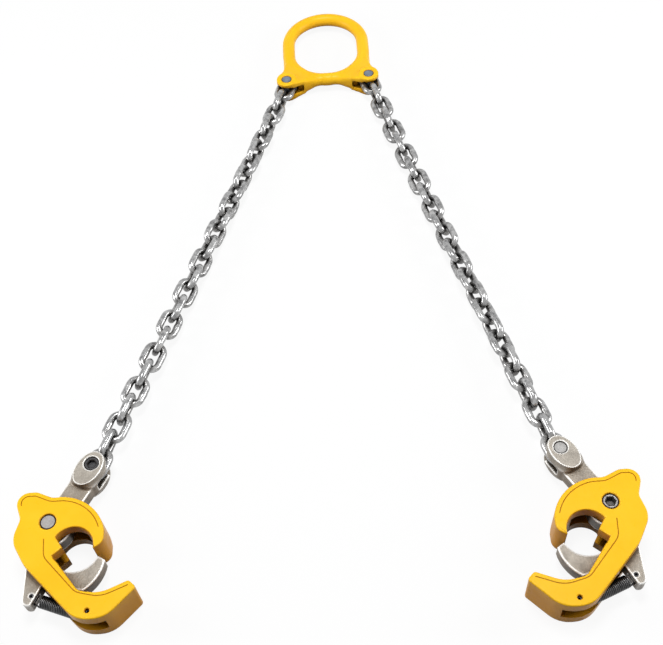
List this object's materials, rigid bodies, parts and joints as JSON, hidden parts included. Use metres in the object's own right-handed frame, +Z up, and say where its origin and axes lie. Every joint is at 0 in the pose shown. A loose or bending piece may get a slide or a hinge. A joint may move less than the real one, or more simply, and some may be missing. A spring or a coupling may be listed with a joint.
{
  "type": "drum lifter",
  "caption": "Two-leg chain drum lifter: an oval ring, welded link chains and spring-closed cam clamps that grip a drum's rim.",
  "frame": {"origin": "centre of the ring's eye", "axes": "+Y from the clamps to the ring, +Z up from the surface that the lifter lies on, +X to the right"},
  "size_m": [0.4734, 0.6875, 0.032],
  "materials": {
    "yellow_paint": "gloss",
    "zinc_plate": "satin",
    "zinc_chain": "satin",
    "dark_steel": "satin"
  },
  "bodies": {
    "ring": {"master_ring": "yellow_paint", "ring_pin_left": "zinc_plate", "ring_pin_right": "zinc_plate"},
    "chain_left_1": {"chain_left_1": "zinc_chain"},
    "chain_left_2": {"chain_left_2": "zinc_chain"},
    "chain_left_3": {"chain_left_3": "zinc_chain"},
    "chain_left_4": {"chain_left_4": "zinc_chain"},
    "chain_left_5": {"chain_left_5": "zinc_chain"},
    "chain_left_6": {"chain_left_6": "zinc_chain"},
    "chain_left_7": {"chain_left_7": "zinc_chain"},
    "chain_left_8": {"chain_left_8": "zinc_chain"},
    "chain_left_9": {"chain_left_9": "zinc_chain"},
    "lever_left": {"cam_lever_left": "zinc_plate", "clevis_pin_left": "zinc_plate", "clevis_screw_left": "dark_steel", "lever_spring_pin_left": "dark_steel"},
    "jaw_left": {"jaw_body_left": "yellow_paint", "pivot_pin_left": "zinc_plate", "jaw_spring_pin_left": "dark_steel", "spring_left": "zinc_plate"},
    "chain_right_1": {"chain_right_1": "zinc_chain"},
    "chain_right_2": {"chain_right_2": "zinc_chain"},
    "chain_right_3": {"chain_right_3": "zinc_chain"},
    "chain_right_4": {"chain_right_4": "zinc_chain"},
    "chain_right_5": {"chain_right_5": "zinc_chain"},
    "chain_right_6": {"chain_right_6": "zinc_chain"},
    "chain_right_7": {"chain_right_7": "zinc_chain"},
    "chain_right_8": {"chain_right_8": "zinc_chain"},
    "chain_right_9": {"chain_right_9": "zinc_chain"},
    "lever_right": {"cam_lever_right": "zinc_plate", "clevis_pin_right": "zinc_plate", "clevis_screw_right": "dark_steel", "lever_spring_pin_right": "dark_steel"},
    "jaw_right": {"jaw_body_right": "yellow_paint", "pivot_pin_right": "zinc_plate", "jaw_spring_pin_right": "dark_steel", "spring_right": "zinc_plate"}
  },
  "joints": [
    {"name": "ring_swing_left", "type": "hinge", "parent": "ring", "child": "chain_left_1", "pos_m": [-0.0422, -0.05475, 0], "axis": [0, 0, 1], "range_deg": [-35, 25]},
    {"name": "chain_left_bend_1", "type": "hinge", "parent": "chain_left_1", "child": "chain_left_2", "pos_m": [-0.06111, -0.10533, -0.00053], "axis": [-0.9289, 0.3485, -0.1253], "range_deg": [-35, 35]},
    {"name": "chain_left_bend_2", "type": "hinge", "parent": "chain_left_2", "child": "chain_left_3", "pos_m": [-0.08023, -0.15647, -0.00081], "axis": [0.2906, -0.1051, -0.9511], "range_deg": [-35, 35]},
    {"name": "chain_left_bend_3", "type": "hinge", "parent": "chain_left_3", "child": "chain_left_4", "pos_m": [-0.09935, -0.20761, -0.00078], "axis": [-0.8212, 0.3059, -0.4818], "range_deg": [-35, 35]},
    {"name": "chain_left_bend_4", "type": "hinge", "parent": "chain_left_4", "child": "chain_left_5", "pos_m": [-0.11847, -0.25876, -0.00042], "axis": [-0.5949, 0.2291, 0.7705], "range_deg": [-35, 35]},
    {"name": "chain_left_bend_5", "type": "hinge", "parent": "chain_left_5", "child": "chain_left_6", "pos_m": [-0.1376, -0.3099, 0.00027], "axis": [-0.6008, 0.2132, -0.7704], "range_deg": [-35, 35]},
    {"name": "chain_left_bend_6", "type": "hinge", "parent": "chain_left_6", "child": "chain_left_7", "pos_m": [-0.15672, -0.36104, 0.00127], "axis": [-0.8175, 0.3157, 0.4817], "range_deg": [-35, 35]},
    {"name": "chain_left_bend_7", "type": "hinge", "parent": "chain_left_7", "child": "chain_left_8", "pos_m": [-0.17584, -0.41218, 0.0026], "axis": [-0.2979, 0.0856, -0.9508], "range_deg": [-35, 35]},
    {"name": "chain_left_bend_8", "type": "hinge", "parent": "chain_left_8", "child": "chain_left_9", "pos_m": [-0.19496, -0.46332, 0.00425], "axis": [-0.9279, 0.3511, 0.1253], "range_deg": [-35, 35]},
    {"name": "clevis_swing_left", "type": "hinge", "parent": "chain_left_9", "child": "lever_left", "pos_m": [-0.20529, -0.49096, 0.0051], "axis": [0, 0, -1], "range_deg": [-35, 35]},
    {"name": "jaw_open_left", "type": "hinge", "parent": "lever_left", "child": "jaw_left", "pos_m": [-0.23345, -0.54052, 0.0051], "axis": [0, 0, 1], "range_deg": [0, 16], "stiffness_Nm_per_rad": 2, "springref_deg": -28.65, "deforming": ["spring_left"]},
    {"name": "ring_swing_right", "type": "hinge", "parent": "ring", "child": "chain_right_1", "pos_m": [0.0422, -0.05475, 0], "axis": [0, 0, 1], "range_deg": [-25, 35]},
    {"name": "chain_right_bend_1", "type": "hinge", "parent": "chain_right_1", "child": "chain_right_2", "pos_m": [0.0559, -0.10698, -0.00053], "axis": [-0.9599, -0.2506, -0.1253], "range_deg": [-35, 35]},
    {"name": "chain_right_bend_2", "type": "hinge", "parent": "chain_right_2", "child": "chain_right_3", "pos_m": [0.06976, -0.1598, -0.00081], "axis": [0.2981, 0.0816, -0.9511], "range_deg": [-35, 35]},
    {"name": "chain_right_bend_3", "type": "hinge", "parent": "chain_right_3", "child": "chain_right_4", "pos_m": [0.08361, -0.21261, -0.00078], "axis": [-0.8473, -0.2234, -0.4818], "range_deg": [-35, 35]},
    {"name": "chain_right_bend_4", "type": "hinge", "parent": "chain_right_4", "child": "chain_right_5", "pos_m": [0.09747, -0.26542, -0.00042], "axis": [-0.6181, -0.1557, 0.7705], "range_deg": [-35, 35]},
    {"name": "chain_right_bend_5", "type": "hinge", "parent": "chain_right_5", "child": "chain_right_6", "pos_m": [0.11132, -0.31823, 0.00027], "axis": [-0.6139, -0.1721, -0.7704], "range_deg": [-35, 35]},
    {"name": "chain_right_bend_6", "type": "hinge", "parent": "chain_right_6", "child": "chain_right_7", "pos_m": [0.12518, -0.37104, 0.00127], "axis": [-0.85, -0.2132, 0.4817], "range_deg": [-35, 35]},
    {"name": "chain_right_bend_7", "type": "hinge", "parent": "chain_right_7", "child": "chain_right_8", "pos_m": [0.13903, -0.42386, 0.0026], "axis": [-0.2928, -0.1018, -0.9508], "range_deg": [-35, 35]},
    {"name": "chain_right_bend_8", "type": "hinge", "parent": "chain_right_8", "child": "chain_right_9", "pos_m": [0.15289, -0.47667, 0.00425], "axis": [-0.9606, -0.248, 0.1253], "range_deg": [-35, 35]},
    {"name": "clevis_swing_right", "type": "hinge", "parent": "chain_right_9", "child": "lever_right", "pos_m": [0.16038, -0.50521, 0.0051], "axis": [0, 0, 1], "range_deg": [-35, 35]},
    {"name": "jaw_open_right", "type": "hinge", "parent": "lever_right", "child": "jaw_right", "pos_m": [0.18853, -0.55477, 0.0051], "axis": [0, 0, -1], "range_deg": [0, 16], "stiffness_Nm_per_rad": 2, "springref_deg": -28.65, "deforming": ["spring_right"]}
  ]
}
